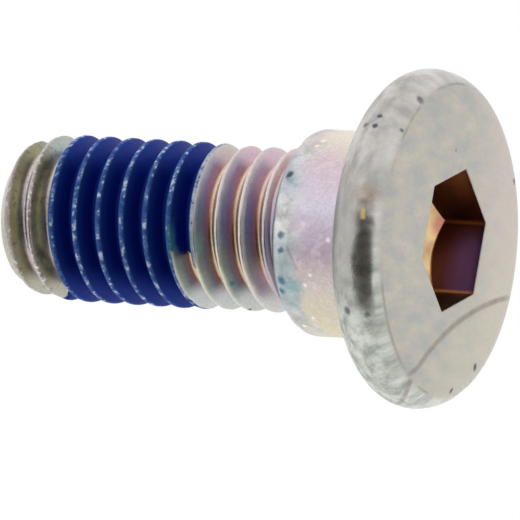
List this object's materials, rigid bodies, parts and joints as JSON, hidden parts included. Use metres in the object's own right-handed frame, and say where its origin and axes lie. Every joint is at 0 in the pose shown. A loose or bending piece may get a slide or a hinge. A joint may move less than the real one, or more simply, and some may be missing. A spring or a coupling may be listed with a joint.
{
  "type": "brake disc screw",
  "caption": "Low round-headed shoulder screw with a hexagon socket, a plain centring shoulder and a metric thread with a band of dried thread lock, for fixing a brake disc.",
  "frame": {"origin": "centre of the head's outer face", "axes": "+Z along the screw's axis, from the head's face to the tip; +X through a corner of the hexagon socket"},
  "size_m": [0.016, 0.016, 0.0226],
  "materials": {
    "plated_steel": "satin zinc plating with a faint yellow and pink chromate tint",
    "thread_lock": "dried deep blue film, satin, worn along the crests"
  },
  "bodies": {
    "root": {"screw": "plated_steel", "thread_lock": "thread_lock"}
  },
  "joints": []
}
